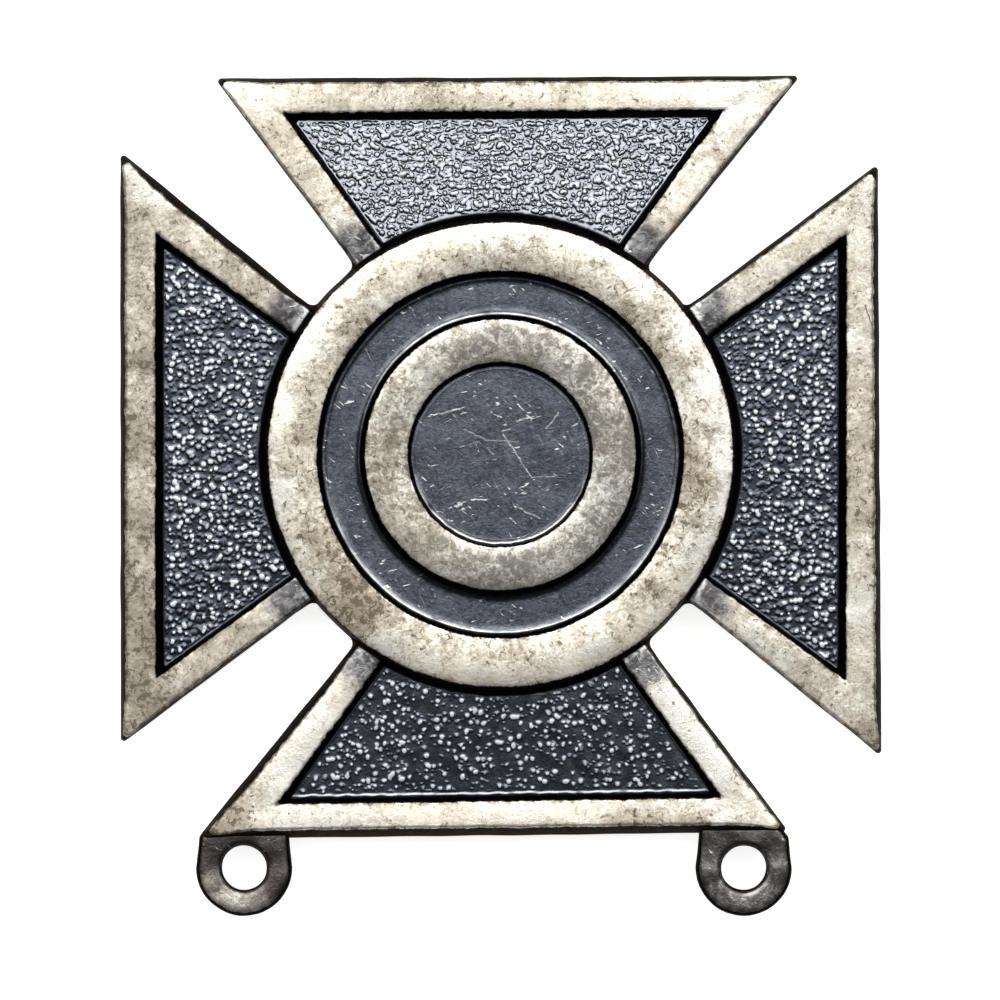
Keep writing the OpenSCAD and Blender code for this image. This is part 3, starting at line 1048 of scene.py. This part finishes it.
def make_loop(name, which, rubbed_way, clearly, stain, dull, smear):
    """Rows go round the hole. Each row goes out from the hole's edge, over rounded edges at both,
    to a circle below and to the sides of a tapering tab above, whose outer corner is cut off
    along the side of the bottom arm."""
    x0 = which * LOOP_SPACING / 2 - TRIM_SHIFT
    turn = np.arange(LOOP_STEPS) * 2 * math.pi / LOOP_STEPS
    c, s = np.cos(turn), np.sin(turn)
    tab_top = LOOP_DROP - ARM_REACH + TAB_TUCK
    side = LOOP_R + (LOOP_TAB_HALF - LOOP_R) * np.clip(s * LOOP_R / tab_top, 0, 1)
    tab = np.minimum(side / np.maximum(np.abs(c), 1e-6), tab_top / np.maximum(s, 1e-6))
    root, tip = (-ARM_OUTLINE[k] for k in ((0, 1) if which < 0 else (3, 2)))
    way = unit(root - tip)
    outward = which * np.array([way[1], -way[0]])
    inside_arm = outward @ (tip - (x0, -LOOP_DROP)) - TAB_INSET
    leaving = outward[0] * c + outward[1] * s
    tab = np.minimum(tab, inside_arm / np.maximum(leaving, 1e-6))
    reach = np.where(s > 0, tab, LOOP_R)
    far = np.stack([reach - inset if outer else np.full(LOOP_STEPS, LOOP_HOLE_R + inset)
                    for outer, inset, _ in LOOP_PROFILE], 1)
    rub = [(inset - 0.14 if outer else inset + 0.02) if height > 0.8 else -1.0
           for outer, inset, height in LOOP_PROFILE]
    rub = np.broadcast_to(rub, far.shape)
    dx, dy = far * c[:, None], far * s[:, None]
    x, y = dx + x0, dy - LOOP_DROP
    z = np.broadcast_to([height for _, _, height in LOOP_PROFILE], far.shape)
    z = z + (z > 0.5) * 0.012 * ripple(x, y, 1.2, 41)
    x2 = x + 0.007 * ripple(x, y, 1.5, 42)
    y2 = y + 0.007 * ripple(x, y, 1.5, 43)
    points = np.stack([x2, y2, z], -1).reshape(-1, 3)
    quads = grid_quads(LOOP_STEPS, len(LOOP_PROFILE), True, True)
    clear = 1.0 + clearly * (dx * rubbed_way[0] + dy * rubbed_way[1]) / LOOP_R
    numbers = dict(
        rub=rub,
        floor=np.where(rub > -0.06, 0.05, -2.0),
        clear=np.maximum(clear, 0.5),
        stain=stain,
        dull=dull,
        crinkled=0.8,
        smear=smear * np.clip(clear - 0.5, 0, 1),
        brown=0.8,
    )
    add_piece("loop_" + name, points, quads, STRUCK, numbers)


# The back and the notches

# Radius of the pieces that end just under the target's wall
TUCKED_R = RIM_R - 0.02
# The webs, anticlockwise from the top arm
WEBS = ("web_upper_left", "web_lower_left", "web_lower_right", "web_upper_right")
# The radius of a web's corners, and how far its front runs into an arm's side by 1 mm out
WEB_R = 0.42
WEB_BURY = 0.06
# How far a web's hidden back runs past its front's ends, and in towards the target
WEB_BACK = 0.3
WEB_BACK_SHARE = 0.94
# Points along an arm's side from which its direction is taken
AHEAD = 7
# The size and height of each layer, from the bottom up
WEB_LAYERS = ((0.97, HIDDEN_H), (1, 0.12), (1, 0.85), (0.95, 0.95))
BACK_LAYERS = ((0.997, 0.0), (1, 0.03), (1, 0.14))


def rim_arc(start, end):
    """Twelve points on the rim's arc between two places, anticlockwise, without its ends."""
    here, there = math.atan2(start[1], start[0]), math.atan2(end[1], end[0])
    turn = np.linspace(here, here + (there - here) % (2 * math.pi), 14)[1:-1]
    return np.stack([np.cos(turn), np.sin(turn)], 1) * TUCKED_R


def arm_edge(arm):
    """The part of an arm's outline that is outside the rim, where it is on the badge."""
    edge = side_path(sides(ARM_OUTLINE, arm["shift"], arm["tilt"]), [0.02] * 3, CORNER_R)
    edge = edge[np.hypot(edge[:, 0], edge[:, 1]) > TUCKED_R]
    return np.stack(turned(edge[:, 0], edge[:, 1], arm["turn"]), 1)


def add_stack(name, path, middle, layers, material, numbers, crease):
    """An upright solid: a closed path in layers, each scaled about the middle, at its own height."""
    n, count = len(path), len(layers)
    points = [np.column_stack([middle + (path - middle) * size, np.full(n, z)]) for size, z in layers]
    caps = [np.arange(n), np.arange((count - 1) * n, count * n)[::-1]]
    quads = grid_quads(count, n, close_columns=True)
    add_piece(name, np.concatenate(points), quads, material, numbers, caps, crease)


def make_webs():
    """An upright solid in the bottom of each notch between two arms. Seen from above, its front
    runs from one arm's side along the rim to the other's, with two round corners. Its back is
    hidden under the ring and the frames."""
    edges = [arm_edge(arm) for arm in ARMS.values()]
    for name, before, after in zip(WEBS, edges, edges[1:] + edges[:1]):
        left, right = before[-1], after[0]
        across = unit(left - right)
        tip_left = left + unit(before[-1 - AHEAD] - left) + WEB_BURY * across
        tip_right = right + unit(after[AHEAD] - right) - WEB_BURY * across
        front = rounded_line(((*tip_left, 0), (*left, WEB_R), (*right, WEB_R), (*tip_right, 0)), 12)
        back = [tip_right - WEB_BACK * across, WEB_BACK_SHARE * right, WEB_BACK_SHARE * left,
                tip_left + WEB_BACK * across]
        path = np.concatenate([front, back])
        numbers = dict(rub=-1.0, floor=-2.0, clear=FAR)
        add_stack(name, path, (left + right) / 2, WEB_LAYERS, STRUCK, numbers, 40)


def make_back():
    """A thin plate with the whole outline: the sides of the four arms joined by arcs of the rim."""
    path = []
    for arm in ARMS.values():
        edge = arm_edge(arm)
        last = path[-1][-1] if path else edge[0]
        path += [rim_arc(last, edge[0]), edge]
    path = np.concatenate([*path[1:], rim_arc(path[-1][-1], path[1][0])])
    add_stack("back_plate", path, np.zeros(2), BACK_LAYERS, BACK, None, 30)


make_target()
for arm in ARMS:
    make_frame(arm, ARMS[arm])
    make_field(arm, ARMS[arm], FIELDS[arm])
for loop in LOOPS:
    make_loop(*loop)
make_webs()
make_back()

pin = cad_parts["pin_back"]
pin.data.materials.clear()
pin.data.materials.append(NICKEL)


# Light

def add_softbox(name, tilt, distance, size, radiance):
    """A rectangular lamp on the top arm's side, tilted from straight above and aimed at the badge."""
    data = bpy.data.lights.new(name, "AREA")
    data.shape = "RECTANGLE"
    data.size, data.size_y = size[0] * MM, size[1] * MM
    data.energy = radiance * math.pi * data.size * data.size_y
    lamp = add_object(name, data)
    tilt = math.radians(tilt)
    lamp.location = (0, distance * MM * math.sin(tilt), distance * MM * math.cos(tilt))
    lamp.rotation_euler = (-tilt, 0, 0)
    lamp.visible_camera = False


def add_surroundings():
    """A dim room, paler low down all round, where a studio's walls are."""
    world = bpy.data.worlds.new("surroundings")
    bpy.context.scene.world = world
    world.use_nodes = True
    background = world.node_tree.nodes["Background"]
    background.inputs["Color"].default_value = (0.93, 0.965, 1.0, 1)
    room = Nodes(world.node_tree)
    way = room.node("SeparateXYZ", Vector=room.node("TexCoord").outputs["Generated"])
    room.put(room.step(way.outputs["Z"], 0.25, 0.65, 0.70, 0.11), background.inputs["Strength"])
    add_softbox("window", tilt=19.0, distance=2000, size=(2040, 1170), radiance=4.85)
    view = bpy.context.scene.view_settings
    view.view_transform = "Standard"
    view.look = "None"
    view.exposure = 0
    view.gamma = 1


add_surroundings()


# The floor

FLOOR_HALF = 1.5


def add_floor():
    """A plain pale surface under the feet, a little bright of itself, so that it clips to white."""
    mesh = bpy.data.meshes.new("floor")
    corners = [(x * FLOOR_HALF, y * FLOOR_HALF, 0) for x, y in ((-1, -1), (1, -1), (1, 1), (-1, 1))]
    mesh.from_pydata(corners, [], [(0, 1, 2, 3)])
    f = Finish("pale_floor")
    f.put(f.mix(f.noise(40.0), (0.86, 0.86, 0.86, 1), (0.9, 0.9, 0.9, 1)), f.shader.inputs["Base Color"])
    f.shader.inputs["Roughness"].default_value = 0.9
    f.shader.inputs["Specular IOR Level"].default_value = 0.0
    f.shader.inputs["Emission Color"].default_value = (1, 1, 1, 1)
    f.shader.inputs["Emission Strength"].default_value = 0.72
    mesh.materials.append(f.material)
    floor = add_object("floor", mesh)


add_floor()
